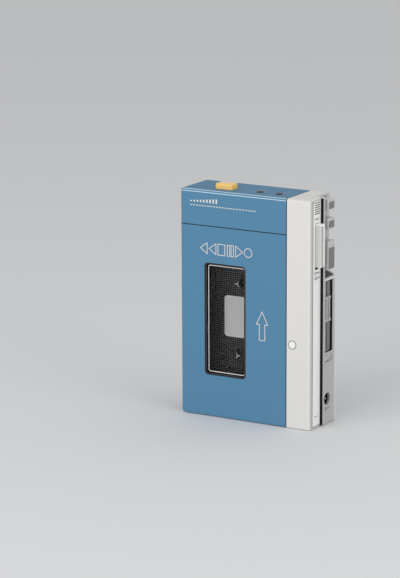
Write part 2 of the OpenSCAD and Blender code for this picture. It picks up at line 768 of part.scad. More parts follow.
module lamp_lens() color("white") placed() {
    rod_y(strip_x + lamp_x, lamp_mid, lamp_r, -0.1, wall + 0.2);
    rod_y(strip_x + lamp_x, lamp_mid, lamp_r + lamp_flange, wall, wall + 0.5);
}

module lamp_diode() color("red") placed() {
    rod_y(strip_x + lamp_x, lamp_mid, diode_r, wall + 0.5, wall + 3.4);
    for (s = [-0.6, 0.4]) block([strip_x + lamp_x + s, strip_x + lamp_x + s + 0.25],
        [wall + 3.3, wall + 7], [lamp_mid - 0.2, lamp_mid + 0.2]);
}

// ---- cassette deck ----

module chassis_plate() color("silver") placed() difference() {
    union() {
        block([chassis_x0, chassis_x1], [chassis_y, chassis_back], [3, door_top - 0.6]);
        rod_y(idler_x, idler_z, idler_pin_r, chassis_y, disc_y + disc_t + 0.6);
    }
    spindle_pair() rod_y(0, 0, bush_r + run_fit, 0, case_d);
    rod_y(capstan_x, capstan_z, bearing_r + run_fit, 0, case_d);
    for (p = posts) rod_y(p[0], p[1], screw_r + 0.05, 0, case_d);
}

module deck_floor() color("black") placed() {
    difference() {
        union() {
            block([2, trough_x], [floor_y, floor_y + floor_t], [deck_low, deck_top]);
            block([trough_x - floor_t, trough_x], [floor_y, chassis_y], [deck_low, deck_top]);
            block([trough_x, strip_x - 0.8], [trough_y, chassis_y], [deck_low + 1.2, deck_top]);
        }
        spindle_pair() rod_y(0, 0, bush_neck_r + 0.1, 0, case_d);
        rod_y(capstan_x, capstan_z, bearing_r + 0.2, 0, case_d);
        for (p = guide_pin_places()) rod_y(p[0], p[1], guide_pin_r + 0.1, 0, case_d);
    }
    block([4, trough_x], [3.4, floor_y + floor_t], [deck_top - 0.6, deck_top + 0.4]);
    for (x = [8, 40]) block([x, x + 6], [floor_y - 3.6, floor_y + 0.1], [deck_low + 3.9, deck_low + 4.9]);
    for (z = [deck_low + 7.3, deck_top - 6.4])
        rod_y(reel_x - 6, z, 1.8, floor_y + floor_t - 0.1, chassis_y);
}

module deck_plate() color("darkgray") placed()
    along_y(floor_y - deck_plate_t, floor_y) translate([reel_x, deck_mid])
        rect2(-deck_plate_left, -deck_plate_low, deck_plate_right, deck_plate_high,
            [deck_plate_r, deck_plate_r, deck_plate_r, deck_plate_r]);

// places of the two pins the cassette's holes fit over
function guide_pin_places() = [[capstan_x, deck_mid - capstan_dz], [capstan_x - 5, deck_mid]];

module guide_pins() color("silver") placed() for (p = guide_pin_places()) {
    rod_y(p[0], p[1], guide_pin_r, 6.4, chassis_y);
    rod_y(p[0], p[1], guide_tip_r, 5.4, 6.5);
}

module spindle_bushes() color("goldenrod") placed() spindle_pair() difference() {
    union() {
        rod_y(0, 0, bush_r, chassis_y, disc_y - 0.4);
        rod_y(0, 0, bush_neck_r, floor_y + 0.2, chassis_y + 0.1);
    }
    rod_y(0, 0, reel_shaft_r + run_fit, 0, case_d);
}

// three-finned spindle that drives a tape hub, with its shaft; turn sets the first fin's angle
module spindle(turn) {
    rod_y(0, 0, fin_r, floor_y - fin_root - 0.1, floor_y - 0.3);
    rod_y(0, 0, reel_shaft_r, floor_y - 0.4, disc_y + disc_t + 0.6);
    rod_y(0, 0, 1.3, spindle_tip_y + 0.3, floor_y - fin_root);
    for (i = [0 : 2]) rotate([0, 120 * i + turn, 0]) translate([0, 0, -fin_t / 2]) linear_extrude(fin_t)
        polygon([[0, spindle_tip_y], [1.7, spindle_tip_y], [fin_r, spindle_tip_y + 1.4],
            [fin_r, floor_y - fin_root], [0, floor_y - fin_root]]);
}

module reel_disc() difference() {
    union() {
        rod_y(0, 0, disc_r, disc_y, disc_y + disc_t);
        rod_y(0, 0, disc_hub_r, disc_y - 0.3, disc_y + disc_t + 0.5);
    }
    rod_y(0, 0, reel_shaft_r + press_fit, 0, case_d);
    for (i = [0 : 5]) rotate([0, 60 * i, 0]) rod_y(disc_hole_ring, 0, disc_hole_r, 0, case_d);
}

module supply_spindle() color("dimgray") placed() translate([reel_x, 0, supply_z]) spindle(0);
module takeup_spindle() color("dimgray") placed() translate([reel_x, 0, takeup_z]) spindle(180);
module supply_disc() color("ivory") placed() translate([reel_x, 0, supply_z]) reel_disc();
module takeup_disc() color("ivory") placed() translate([reel_x, 0, takeup_z]) reel_disc();

// ---- drive ----

module idler_wheel() color("ivory") placed() translate([idler_x, 0, idler_z]) difference() {
    rod_y(0, 0, idler_r - tyre_t, disc_y, disc_y + disc_t);
    rod_y(0, 0, idler_pin_r + run_fit, 0, case_d);
    for (i = [0 : 2]) rotate([0, 120 * i, 0]) rod_y(2.4, 0, 0.6, 0, case_d);
}

module idler_tyre() color("black") placed() translate([idler_x, 0, idler_z]) difference() {
    rod_y(0, 0, idler_r, disc_y + 0.2, disc_y + disc_t - 0.2);
    rod_y(0, 0, idler_r - tyre_t + press_fit, 0, case_d);
}

module capstan() color("silver") placed()
    rod_y(capstan_x, capstan_z, capstan_r, 3.2, bracket_y + bracket_t);

module flywheel() color("goldenrod") placed() translate([capstan_x, 0, capstan_z]) difference() {
    union() {
        rod_y(0, 0, flywheel_r, flywheel_y, flywheel_y + flywheel_t);
        rod_y(0, 0, groove_r + 0.9, belt_y, belt_y + 0.4);
        rod_y(0, 0, groove_r, belt_y, flywheel_y + 0.1);
    }
    rod_y(0, 0, capstan_r + press_fit, 0, case_d);
    difference() {
        rod_y(0, 0, flywheel_r - 2.5, flywheel_y + flywheel_t - 1, case_d);
        rod_y(0, 0, 4, 0, case_d + 1);
    }
}

module capstan_bearing() color("goldenrod") placed() difference() {
    union() {
        rod_y(capstan_x, capstan_z, bearing_r, trough_y, belt_y - 0.3);
        rod_y(capstan_x, capstan_z, bearing_neck_r, trough_y - 2, trough_y + 0.1);
    }
    rod_y(capstan_x, capstan_z, capstan_r + run_fit, 0, case_d);
}

// outline of the bracket, g larger all round
module bracket_outline(g) translate([capstan_x, capstan_z]) {
    for (p = bracket_legs) {
        bar2([0, 0], p, bracket_w + 2 * g);
        translate(p) circle(bracket_w / 2 + 0.4 + g);
    }
    circle(capstan_r + 3 + g);
}

module flywheel_bracket() color("silver") placed() difference() {
    union() {
        along_y(bracket_y, bracket_y + bracket_t) bracket_outline(0);
        for (p = bracket_legs)
            rod_y(capstan_x + p[0], capstan_z + p[1], bracket_leg_r, chassis_back, bracket_y + 0.1);
    }
    rod_y(capstan_x, capstan_z, capstan_r + run_fit, 0, case_d);
}

module motor() color("gray") placed() translate([motor_x, 0, motor_z]) difference() {
    union() {
        rod_y(0, 0, motor_r, disc_y, board_y + board_t);
        rod_y(0, 0, motor_boss_r, disc_y - 0.5, disc_y + 0.1);
    }
    rod_y(0, 0, motor_shaft_r + run_fit, disc_y - 1, disc_y + 4);
}

module motor_mount() color("silver") placed() translate([motor_x, 0, motor_z]) difference() {
    rod_y(0, 0, motor_r - 0.2, chassis_back, disc_y);
    rod_y(0, 0, motor_r - 3, 0, case_d);
    block([-motor_r - 1, motor_r + 1], [0, case_d], [3, motor_r + 1]);
}

module motor_pulley() color("goldenrod") placed() translate([motor_x, 0, motor_z]) {
    rod_y(0, 0, motor_shaft_r, belt_y - 0.1, disc_y + 3.6);
    rod_y(0, 0, pulley_r, belt_y + 0.2, belt_y + belt_h - 0.1);
    for (y = [belt_y, belt_y + belt_h - 0.2]) rod_y(0, 0, pulley_r + 0.8, y, y + 0.3);
}

// belt outline round both pulleys, r outside the grooves
module belt_loop(r) hull() {
    translate([motor_x, motor_z]) circle(pulley_r + r);
    translate([capstan_x, capstan_z]) circle(groove_r + r);
}

module drive_belt() color("black") placed()
    along_y(belt_y + 0.75, belt_y + 0.75 + belt_t) difference() {
        belt_loop(belt_t + belt_play);
        belt_loop(belt_play);
    }

module head_slide() color("silver") placed() {
    difference() {
        block([roller_x - 1.6, chassis_x1], [trough_y - 0.9, trough_y - 0.1],
            [deck_mid - 10, capstan_z + 7]);
        block([roller_x + 4, chassis_x1 - 2], [0, case_d], [deck_mid + 12, capstan_z - 8]);
    }
    block([roller_x + 0.4, chassis_x1 - 1], [trough_y - head_block_t, trough_y - 0.8],
        [deck_mid - 6, deck_mid + 6]);
    rod_y(roller_x, capstan_z, roller_pin_r, 3.6, trough_y - 0.8);
    rod_y(roller_x, capstan_z, 2, 11.4, trough_y - 0.8);
}

module playback_head() color("silver") placed() intersection() {
    block([strip_x - 0.7, roller_x + 4.4], [3.4, trough_y - head_block_t - 0.05],
        [deck_mid - head_h / 2, deck_mid + head_h / 2]);
    rod_y(strip_x + 8.3, deck_mid, 9, 0, case_d);
}

module pinch_roller() color("black") placed() difference() {
    rod_y(roller_x, capstan_z, roller_r, 4.4, 11);
    rod_y(roller_x, capstan_z, roller_pin_r + run_fit, 0, case_d);
}

module circuit_board() color("seagreen") placed() {
    difference() {
        block([chassis_x0 + 1, column_in - 3.5], [board_y, board_y + board_t],
            [board_low, board_high]);
        for (p = posts) rod_y(p[0], p[1], post_r + 0.3, 0, case_d);
        along_y(0, case_d) bracket_outline(0.5);
        rod_y(capstan_x, capstan_z, flywheel_r + 0.5, 0, case_d);
        block([capstan_x, column_in], [0, case_d], [capstan_z + bracket_legs[1][1], capstan_z + 2]);
    }
    block([button_x - 3, strip_x - 3.5], [jack_y - 6.5, board_y + 0.1],
        [upper_board_z, upper_board_z + upper_board_t]);
    translate([reel_x, 0, deck_mid]) {
        for (c = tall_capacitors) rod_y(c[0], c[1], capacitor_r, board_y - 9, board_y + 0.1);
        for (c = small_capacitors) rod_y(c[0], c[1], small_capacitor_r, board_y - 8, board_y + 0.1);
        for (c = chips)
            block([c[0], c[0] + chip_w], [board_y - 2.4, board_y + 0.1], [c[1], c[1] + chip_l]);
    }
}

rear_case();
top_cover();
silver_shell();
side_plate();
trim_strip();
control_block();
door();
door_window();
window_frame();
cassette_springs();
door_catch();
hinge_pin();
door_spring();
door_latch();
battery_box();
battery_contacts();
battery_lid();
case_screws();
talk_button();
talk_switch();
phone_jack_left();
phone_jack_right();
jack_rings();
stop_key();
play_key();
forward_key();
rewind_key();
key_springs();
stop_spring();
volume_knob_left();
volume_knob_right();
slide_resistors();
power_jack();
power_pin();
microphone();
lamp_lens();
lamp_diode();
chassis_plate();
deck_floor();
deck_plate();
guide_pins();
spindle_bushes();
supply_spindle();
supply_disc();
takeup_spindle();
takeup_disc();
idler_wheel();
idler_tyre();
capstan();
flywheel();
capstan_bearing();
flywheel_bracket();
motor();
motor_mount();
motor_pulley();
drive_belt();
head_slide();
playback_head();
pinch_roller();
circuit_board();
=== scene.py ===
"""Portable cassette player: finishes, moulded details, printed marks and a plain studio."""
import math
import bpy
import numpy as np
from mathutils import Matrix, Vector


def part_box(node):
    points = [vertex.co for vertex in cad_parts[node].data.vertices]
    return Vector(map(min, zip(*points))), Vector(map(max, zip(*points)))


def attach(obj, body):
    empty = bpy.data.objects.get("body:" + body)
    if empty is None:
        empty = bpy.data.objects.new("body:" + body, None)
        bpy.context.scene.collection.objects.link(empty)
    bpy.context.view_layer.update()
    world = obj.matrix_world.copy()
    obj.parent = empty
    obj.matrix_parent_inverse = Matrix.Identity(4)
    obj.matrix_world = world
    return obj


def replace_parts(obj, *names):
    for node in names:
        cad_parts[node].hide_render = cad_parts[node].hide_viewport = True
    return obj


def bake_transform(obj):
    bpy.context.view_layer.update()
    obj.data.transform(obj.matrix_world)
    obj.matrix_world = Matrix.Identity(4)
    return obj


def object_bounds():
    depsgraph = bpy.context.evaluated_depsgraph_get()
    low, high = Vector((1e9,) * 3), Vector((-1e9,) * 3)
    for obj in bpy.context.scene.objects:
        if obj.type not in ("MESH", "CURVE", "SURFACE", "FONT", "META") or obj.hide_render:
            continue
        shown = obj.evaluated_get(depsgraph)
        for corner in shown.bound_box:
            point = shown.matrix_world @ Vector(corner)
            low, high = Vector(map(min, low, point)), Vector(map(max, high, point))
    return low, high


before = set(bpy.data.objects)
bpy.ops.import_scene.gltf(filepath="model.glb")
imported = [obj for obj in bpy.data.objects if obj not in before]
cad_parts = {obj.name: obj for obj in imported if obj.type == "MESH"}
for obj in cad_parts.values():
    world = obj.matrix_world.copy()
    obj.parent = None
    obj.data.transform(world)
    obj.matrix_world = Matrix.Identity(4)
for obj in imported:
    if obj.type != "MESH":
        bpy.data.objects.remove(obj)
cad_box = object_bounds()
MM = 0.001
scene = bpy.context.scene
scene.view_settings.view_transform = "Standard"


def box_mm(node):
    """Lowest and highest corner of a CAD node, in millimetres."""
    low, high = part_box(node)
    return np.array(low) / MM, np.array(high) / MM


# ---------------------------------------------------------------- camera and lamps


def make_camera():
    """Long lens a little above the player, turned to show its front and key side."""
    yaw, pitch, roll = math.radians(30.578), math.radians(12.921), math.radians(-0.262)
    level = math.cos(pitch)
    forward = Vector((-math.sin(yaw) * level, math.cos(yaw) * level, -math.sin(pitch)))
    data = bpy.data.cameras.new("studio_camera")
    data.lens = 169.85
    data.sensor_width = 36.0
    data.clip_end = 50.0
    camera = bpy.data.objects.new("studio_camera", data)
    turn = forward.to_track_quat("-Z", "Y").to_matrix() @ Matrix.Rotation(roll, 3, "Z")
    camera.matrix_world = Matrix.Translation((0.7511, -1.3361, 0.42714)) @ turn.to_4x4()
    scene.collection.objects.link(camera)
    scene.camera = camera


def add_lamp(name, place, aim, size, watts):
    """Square soft box at place, pointing at aim."""
    data = bpy.data.lights.new(name, "AREA")
    data.size = size
    data.energy = watts
    lamp = bpy.data.objects.new(name, data)
    lamp.location = place
    lamp.rotation_euler = (Vector(aim) - Vector(place)).to_track_quat("-Z", "Y").to_euler()
    scene.collection.objects.link(lamp)


make_camera()

# ---------------------------------------------------------------- node helpers


def socket(node, name, value):
    node.inputs[name].default_value = value


def new_group(name, inputs, outputs):
    """Shader group with named sockets; returns its tree, its input node and its output node."""
    tree = bpy.data.node_groups.new(name, "ShaderNodeTree")
    kinds = {"color": "NodeSocketColor", "value": "NodeSocketFloat", "vector": "NodeSocketVector"}
    for label, kind, default in inputs:
        made = tree.interface.new_socket(name=label, in_out="INPUT", socket_type=kinds[kind])
        if default is not None:
            made.default_value = default
    for label, kind in outputs:
        tree.interface.new_socket(name=label, in_out="OUTPUT", socket_type=kinds[kind])
    return tree, tree.nodes.new("NodeGroupInput"), tree.nodes.new("NodeGroupOutput")


def math_node(tree, operation, first, second=None, clamp=False):
    node = tree.nodes.new("ShaderNodeMath")
    node.operation = operation
    node.use_clamp = clamp
    for slot, item in enumerate((first, second)):
        if item is None:
            continue
        if isinstance(item, (int, float)):
            node.inputs[slot].default_value = item
        else:
            tree.links.new(item, node.inputs[slot])
    return node.outputs[0]


def noise(tree, vector, scale, detail):
    node = tree.nodes.new("ShaderNodeTexNoise")
    socket(node, "Scale", scale)
    socket(node, "Detail", detail)
    socket(node, "Roughness", 0.55)
    tree.links.new(vector, node.inputs["Vector"])
    return node.outputs["Fac"]


def mix_color(tree, share, first, second):
    node = tree.nodes.new("ShaderNodeMix")
    node.data_type = "RGBA"
    for item, slot in ((share, 0), (first, 6), (second, 7)):
        tree.links.new(item, node.inputs[slot])
    return node.outputs[2]


def build_surface_group():
    """Fine surface: slow colour drift, a small grain for the bump, and a roughness that follows both."""
    tree, inp, out = new_group(
        "fine_surface",
        [("Color", "color", None), ("Drift", "value", 0.04), ("Grain Size", "value", 900.0),
         ("Roughness", "value", 0.4), ("Roughness Spread", "value", 0.08)],
        [("Color", "color"), ("Roughness", "value"), ("Height", "value")])
    place = tree.nodes.new("ShaderNodeTexCoord").outputs["Object"]
    slow = noise(tree, place, 38.0, 3.0)
    grain = tree.nodes.new("ShaderNodeTexNoise")
    socket(grain, "Detail", 2.0)
    tree.links.new(place, grain.inputs["Vector"])
    tree.links.new(inp.outputs["Grain Size"], grain.inputs["Scale"])
    swing = math_node(tree, "MULTIPLY", math_node(tree, "SUBTRACT", slow, 0.5), inp.outputs["Drift"])
    shade = tree.nodes.new("ShaderNodeHueSaturation")
    tree.links.new(math_node(tree, "ADD", swing, 1.0), shade.inputs["Value"])
    tree.links.new(inp.outputs["Color"], shade.inputs["Color"])
    tree.links.new(shade.outputs["Color"], out.inputs["Color"])
    spread = math_node(tree, "MULTIPLY", math_node(tree, "SUBTRACT", grain.outputs["Fac"], 0.5),
                       inp.outputs["Roughness Spread"])
    tree.links.new(math_node(tree, "ADD", inp.outputs["Roughness"], spread, True), out.inputs["Roughness"])
    tree.links.new(grain.outputs["Fac"], out.inputs["Height"])
    return tree


def build_edge_group():
    """Worn edges, which on the grey keys also serve as a painted highlight: where the normal rounded over
    Width leaves the true one, broken up by a noise.
    """
    tree, inp, out = new_group(
        "edge_wear_and_sheen",
        [("Color", "color", None), ("Worn Color", "color", None), ("Amount", "value", 0.4),
         ("Width", "value", 0.0004)],
        [("Color", "color"), ("Normal", "vector")])
    rounded = tree.nodes.new("ShaderNodeBevel")
    rounded.samples = 4
    tree.links.new(inp.outputs["Width"], rounded.inputs["Radius"])
    true_normal = tree.nodes.new("ShaderNodeNewGeometry").outputs["True Normal"]
    dot = tree.nodes.new("ShaderNodeVectorMath")
    dot.operation = "DOT_PRODUCT"
    tree.links.new(rounded.outputs["Normal"], dot.inputs[0])
    tree.links.new(true_normal, dot.inputs[1])
    departure = math_node(tree, "SUBTRACT", 1.0, dot.outputs["Value"])
    bend = math_node(tree, "MULTIPLY", departure, 6.0, True)
    place = tree.nodes.new("ShaderNodeTexCoord").outputs["Object"]
    broken = math_node(tree, "MULTIPLY", noise(tree, place, 260.0, 4.0), 1.5, True)
    touched = math_node(tree, "MULTIPLY", bend, broken)
    mask = math_node(tree, "MULTIPLY", touched, inp.outputs["Amount"], True)
    worn = mix_color(tree, mask, inp.outputs["Color"], inp.outputs["Worn Color"])
    tree.links.new(worn, out.inputs["Color"])
    tree.links.new(rounded.outputs["Normal"], out.inputs["Normal"])
    return tree


def build_patch_group():
    """Second colour inside a box: the product of six step functions, one for each side of the box."""
    tree, inp, out = new_group(
        "patch_paint",
        [("Color", "color", None), ("Patch Color", "color", None), ("Low", "vector", None),
         ("High", "vector", None)],
        [("Color", "color")])
    place = tree.nodes.new("ShaderNodeTexCoord").outputs["Object"]
    parts = []
    for source in (place, inp.outputs["Low"], inp.outputs["High"]):
        split = tree.nodes.new("ShaderNodeSeparateXYZ")
        tree.links.new(source, split.inputs[0])
        parts.append(split)
    inside = 1.0
    for axis in range(3):
        above = math_node(tree, "GREATER_THAN", parts[0].outputs[axis], parts[1].outputs[axis])
        below = math_node(tree, "LESS_THAN", parts[0].outputs[axis], parts[2].outputs[axis])
        inside = math_node(tree, "MULTIPLY", math_node(tree, "MULTIPLY", above, below), inside)
    painted = mix_color(tree, inside, inp.outputs["Color"], inp.outputs["Patch Color"])
    tree.links.new(painted, out.inputs["Color"])
    return tree


FINE_SURFACE = build_surface_group()
PATCH_PAINT = build_patch_group()
EDGE_WEAR_AND_SHEEN = build_edge_group()


def srgb(red, green, blue):
    """Linear colour for a 0 to 255 screen colour."""
    parts = np.array([red, green, blue]) / 255.0
    linear = np.where(parts <= 0.04045, parts / 12.92, ((parts + 0.055) / 1.055) ** 2.4)
    return tuple(float(v) for v in linear)


def finish(name, color, roughness=0.4, metallic=0.0, worn=None, wear=0.35, edge=0.0003, drift=0.05,
           grain=900.0, bump=0.05, coat=0.0, specular=0.5, patches=()):
    """Principled material: fine surface and edge wear, with the grain as bump over the rounded edges.
    Each patch is a colour with the low and high corner, in millimetres, of the box that it fills."""
    mat = bpy.data.materials.new(name)
    mat.use_nodes = True
    tree = mat.node_tree
    shader = tree.nodes["Principled BSDF"]
    fine = tree.nodes.new("ShaderNodeGroup")
    fine.node_tree = FINE_SURFACE
    socket(fine, "Color", (*color, 1.0))
    socket(fine, "Drift", drift)
    socket(fine, "Grain Size", grain)
    socket(fine, "Roughness", roughness)
    socket(fine, "Roughness Spread", 0.1)
    edges = tree.nodes.new("ShaderNodeGroup")
    edges.node_tree = EDGE_WEAR_AND_SHEEN
    socket(edges, "Worn Color", (*(worn or color), 1.0))
    socket(edges, "Amount", wear if worn else 0.0)
    socket(edges, "Width", edge)
    painted = fine.outputs["Color"]
    for patch_color, low, high in patches:
        patch = tree.nodes.new("ShaderNodeGroup")
        patch.node_tree = PATCH_PAINT
        socket(patch, "Patch Color", (*patch_color, 1.0))
        socket(patch, "Low", tuple(np.asarray(low) * MM))
        socket(patch, "High", tuple(np.asarray(high) * MM))
        tree.links.new(painted, patch.inputs["Color"])
        painted = patch.outputs["Color"]
    tree.links.new(painted, edges.inputs["Color"])
    tree.links.new(edges.outputs["Color"], shader.inputs["Base Color"])
    tree.links.new(fine.outputs["Roughness"], shader.inputs["Roughness"])
    relief = tree.nodes.new("ShaderNodeBump")
    socket(relief, "Strength", bump)
    socket(relief, "Distance", 0.0002)
    tree.links.new(fine.outputs["Height"], relief.inputs["Height"])
    tree.links.new(edges.outputs["Normal"], relief.inputs["Normal"])
    tree.links.new(relief.outputs["Normal"], shader.inputs["Normal"])
    socket(shader, "Metallic", metallic)
    socket(shader, "Specular IOR Level", specular)
    socket(shader, "Coat Weight", coat)
    return mat


# ---------------------------------------------------------------- painted areas
#
# Each area is a colour with the low and high corner, in millimetres, of the box that it fills.

SHELL_LOW, SHELL_HIGH = box_mm("silver_shell")
PLATE_LOW, PLATE_HIGH = box_mm("side_plate")
COLUMN_LOW, COLUMN_HIGH = box_mm("control_block")
KNOB_LOW, KNOB_HIGH = box_mm("slide_resistors")
COVER_LOW, COVER_HIGH = box_mm("top_cover")
STOP_LOW, STOP_HIGH = box_mm("stop_key")
PAINTED_SHADE_INSIDE = srgb(24, 24, 26)
SHELL_SIDE_PAINTED_SHADE = srgb(186, 185, 183)
RIM_AND_TOP_HIGHLIGHT = srgb(206, 205, 203)
COVER_EDGE_HIGHLIGHT = srgb(190, 212, 224)
SEAM_PAINTED_SHADE = srgb(26, 34, 42)
SKIN = 0.35   # depth of paint on the shell's outer side
BEYOND = 1    # reach of an area past the surface it covers

# silver shell: painted shade on its key side and in the groove that the side plate lies in
shell_side_shade = (SHELL_SIDE_PAINTED_SHADE, (SHELL_HIGH[0] - SKIN, SHELL_LOW[1] + 0.5, -BEYOND), SHELL_HIGH + BEYOND)
shell_groove_shade = (srgb(96, 95, 95),
                (SHELL_HIGH[0] - SKIN, PLATE_LOW[1] - 0.9, PLATE_LOW[2] - 0.3),
                (SHELL_HIGH[0] + BEYOND, PLATE_LOW[1] + 0.1, PLATE_HIGH[2] + 0.3))

# side plate: painted shade on all but its outer face, so its grille slots and inner walls read dark
plate_inside_shade = (srgb(110, 110, 111), PLATE_LOW - BEYOND,
                (PLATE_HIGH[0] - 0.12, PLATE_HIGH[1] - 0.5, PLATE_HIGH[2] - 0.5))

# control block: the slot of the volume knobs, the ledge above it, the back edge and the top
slot_low, slot_high = KNOB_LOW[2] + 0.9, KNOB_HIGH[2] + 1.4
slot_front, slot_back = COLUMN_LOW[1] + 2.2, COLUMN_LOW[1] + 11.7
block_inner = COLUMN_LOW[0] - BEYOND
back_edge = COLUMN_HIGH[1] - 1.8
# painted shade in the volume slot: near black on its walls, mid grey on its floor
slot_wall_shade = (PAINTED_SHADE_INSIDE, (block_inner, slot_front, slot_low), (COLUMN_HIGH[0] - 0.25, slot_back, slot_high))
slot_floor_shade = (srgb(126, 126, 127), (block_inner, slot_front, slot_low),
              (COLUMN_HIGH[0] - 1.8, slot_back, slot_high))
# painted highlight on the outer face just above the slot
slot_rim_highlight = (RIM_AND_TOP_HIGHLIGHT, (COLUMN_HIGH[0] - 0.2, slot_front, slot_high),
            (COLUMN_HIGH[0] + BEYOND, back_edge, slot_high + 1.5))
# painted shadow on the ledge under the play key, above the slot
ledge_shade = (srgb(14, 14, 16), (block_inner, slot_front, slot_high + 1.4),
         (COLUMN_HIGH[0] - 1.0, back_edge, slot_high + 3.7))
column_back = (srgb(206, 204, 201), (COLUMN_HIGH[0] - 1.4, COLUMN_HIGH[1] - 2.5, -BEYOND),
               COLUMN_HIGH + BEYOND)
# painted light on the top of the control block
column_top_highlight = (RIM_AND_TOP_HIGHLIGHT, (block_inner, COLUMN_LOW[1] - BEYOND, COLUMN_HIGH[2] - 0.3), COLUMN_HIGH + BEYOND)

# stop key: painted shade on its front corner, painted light on its outer face and a painted highlight on its
# top
stop_front = STOP_LOW[1] + 1.0
stop_corner_shade = (srgb(150, 149, 148), (STOP_HIGH[0] - 0.8, stop_front - BEYOND, STOP_LOW[2]),
               (STOP_HIGH[0] + BEYOND, stop_front + 0.75, STOP_HIGH[2] - 1.6))
stop_face_light = (srgb(232, 231, 229), (STOP_HIGH[0] - 0.3, stop_front + 0.75, STOP_LOW[2]), STOP_HIGH + BEYOND)
stop_top_highlight = (srgb(242, 241, 239), (STOP_LOW[0], stop_front - BEYOND, STOP_HIGH[2] - 1.85), STOP_HIGH + BEYOND)

# cover: two painted highlight lines along its front top edge, and painted shade in the seams beside and below
# it
line_start, line_end = COVER_LOW[0] + 0.6, COVER_HIGH[0] - 0.2
front_highlight_line = (COVER_EDGE_HIGHLIGHT, (line_start, COVER_LOW[1] - BEYOND, COVER_HIGH[2] - 1.55),
              (line_end, COVER_LOW[1] + 0.2, COVER_HIGH[2] - 1.1))
edge_highlight_line = (COVER_EDGE_HIGHLIGHT, (line_start, COVER_LOW[1] + 0.45, COVER_HIGH[2] - 0.35),
             (line_end, COVER_LOW[1] + 0.95, COVER_HIGH[2] + BEYOND))
# painted shade in the seam beside the silver shell and in the seam under the cover
seam_side_shade = (SEAM_PAINTED_SHADE, (COVER_HIGH[0] - 0.3, COVER_LOW[1] - BEYOND, -BEYOND), COVER_HIGH + BEYOND)
seam_band_shade = (SEAM_PAINTED_SHADE, COVER_LOW - (BEYOND, BEYOND, 0.42),
             (COVER_HIGH[0] + BEYOND, COVER_HIGH[1] + BEYOND, COVER_LOW[2] + 0.12))

# ---------------------------------------------------------------- finishes
#
# After the name and colour: roughness, metallic, worn edge colour, share of wear, edge radius in
# metres, drift of the colour, size of the grain and height of the bump.

BLUE = finish("blue_enamel", srgb(85, 130, 161), 0.5, 0.0, srgb(160, 188, 206), 0.3, 0.0005, 0.03,
              1400, 0.03, specular=0.06, patches=[front_highlight_line, edge_highlight_line, seam_side_shade, seam_band_shade])
SILVER = finish("silver_paint", srgb(214, 212, 209), 0.42, 0.0, srgb(240, 240, 240), 0.4, 0.0004, 0.02,
                1800, 0.04, patches=[shell_side_shade, shell_groove_shade])
PLATE = finish("side_plate_paint", srgb(230, 229, 227), 0.45, 0.0, srgb(245, 245, 245), 0.4, 0.0002, 0.02,
               1800, 0.05, patches=[plate_inside_shade])
COLUMN = finish("grey_column_paint", srgb(170, 170, 169), 0.42, 0.0, srgb(212, 210, 208), 0.5, 0.0004, 0.03,
                1600, 0.05, specular=0.2,
                patches=[slot_wall_shade, slot_floor_shade, slot_rim_highlight, ledge_shade, column_back, column_top_highlight])
KEY_LIGHT = finish("light_key_plastic", srgb(208, 207, 205), 0.36, 0.0, srgb(240, 240, 240), 0.4, 0.0004,
                   0.02, 1500, 0.04, patches=[stop_corner_shade, stop_face_light, stop_top_highlight])
# grey keys: their pale worn edges, at a high share, are partly wear and partly a painted highlight along the
# key bevels
KEY_GREY = finish("grey_key_plastic", srgb(182, 181, 179), 0.36, 0.0, srgb(232, 232, 231), 0.6, 0.0005, 0.02,
                  1500, 0.04)
KEY_DARK = finish("dark_key_pad", srgb(112, 111, 111), 0.5, 0.0, srgb(150, 150, 150), 0.3, 0.0002, 0.03,
                  2600, 0.12)
KNOB = finish("grey_knob_plastic", srgb(158, 158, 158), 0.4, 0.0, srgb(228, 228, 228), 0.8, 0.0004, 0.02,
              1500, 0.04)
AMBER = finish("amber_button_plastic", srgb(236, 190, 104), 0.34, 0.0, srgb(252, 226, 168), 0.4, 0.0005, 0.03,
               1200, 0.03, coat=0.2)
BLACK = finish("matt_black_plastic", srgb(26, 25, 28), 0.55, 0.0, srgb(70, 70, 72), 0.3, 0.0002, 0.08,
               1800, 0.08)
# black deck plastic, also on the trim strip, which stands in for shade
BLACK_DECK_AND_SHADE_STRIP = finish("deck_black_plastic_and_shade_strip", srgb(12, 11, 13), 0.6, 0.0, None, 0.0, 0.0002, 0.08,
                    1800, 0.08, specular=0.2)
SPINDLE = finish("spindle_black_plastic", srgb(42, 41, 44), 0.5, 0.0, srgb(80, 80, 82), 0.3, 0.0002, 0.06,
                 1800, 0.06, specular=0.2)
GLOSS_BLACK = finish("gloss_black_plastic", srgb(14, 14, 16), 0.22, 0.0, srgb(60, 60, 62), 0.3, 0.0002, 0.05,
                     900, 0.02)
GREY_PLATE = finish("grey_deck_plate", srgb(196, 196, 195), 0.5, 0.0, srgb(225, 225, 225), 0.3, 0.0002, 0.02,
                    1500, 0.04, specular=0.2)
STEEL = finish("plain_steel", (0.42, 0.42, 0.43), 0.32, 1.0, (0.7, 0.7, 0.7), 0.3, 0.0001, 0.08,
               2200, 0.06)
BRIGHT = finish("bright_steel", (0.62, 0.62, 0.64), 0.16, 1.0, (0.8, 0.8, 0.8), 0.3, 0.0001, 0.05,
                1400, 0.02)
DARK_METAL = finish("dark_chrome", (0.1, 0.1, 0.105), 0.25, 1.0, (0.4, 0.4, 0.4), 0.4, 0.0002, 0.05,
                    1400, 0.02)
BRASS = finish("turned_brass", (0.62, 0.43, 0.16), 0.28, 1.0, (0.85, 0.68, 0.35), 0.3, 0.0001, 0.08,
               2000, 0.05)
RUBBER = finish("black_rubber", srgb(30, 30, 31), 0.75, 0.0, srgb(60, 60, 60), 0.2, 0.0001, 0.1,
                2400, 0.15)
IVORY = finish("ivory_plastic", srgb(225, 220, 200), 0.42, 0.0, srgb(240, 238, 225), 0.2, 0.0002, 0.04,
               1500, 0.04)
